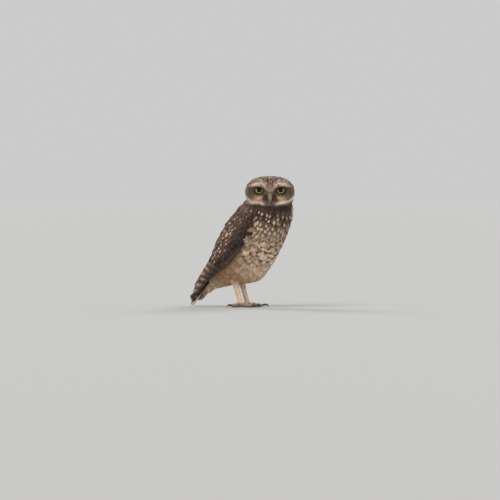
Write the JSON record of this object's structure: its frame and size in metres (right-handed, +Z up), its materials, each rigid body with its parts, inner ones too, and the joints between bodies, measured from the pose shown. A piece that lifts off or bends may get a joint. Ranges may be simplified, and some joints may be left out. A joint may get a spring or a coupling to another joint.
{
  "type": "burrowing owl",
  "caption": "Life-size still burrowing owl standing upright on both feet, head turned to its right, wings folded over a barred belly",
  "frame": {"origin": "on the ground, at the middle of the box round the whole bird", "axes": "+Z up, -Y the way the breast faces, +X the bird's left; the head looks 60 degrees round to -X"},
  "size_m": [0.0916, 0.1744, 0.1966],
  "materials": {
    "breast_plumage": "buff feathers barred with brown",
    "brown_plumage": "soft brown feathers with pale spots",
    "face_plumage": "short feathers, pale brows and chin",
    "quills": "dark brown quill feathers with pale spots and bars",
    "leg_feathers": "short warm buff feathers",
    "foot_skin": "dry scaly skin and dark claws",
    "horn": "smooth horn, slightly glossy",
    "eye": "wet yellow eye with a black pupil"
  },
  "bodies": {
    "root": {"torso": "breast_plumage", "neck": "brown_plumage", "head": "face_plumage", "bill_upper": "horn", "bill_lower": "horn", "eye_left": "eye", "eye_right": "eye", "wing_left": "quills", "wing_right": "quills", "tail": "quills", "thigh_left": "leg_feathers", "thigh_right": "leg_feathers", "shank_left": "leg_feathers", "shank_right": "leg_feathers", "foot_left": "foot_skin", "foot_right": "foot_skin"}
  },
  "joints": []
}
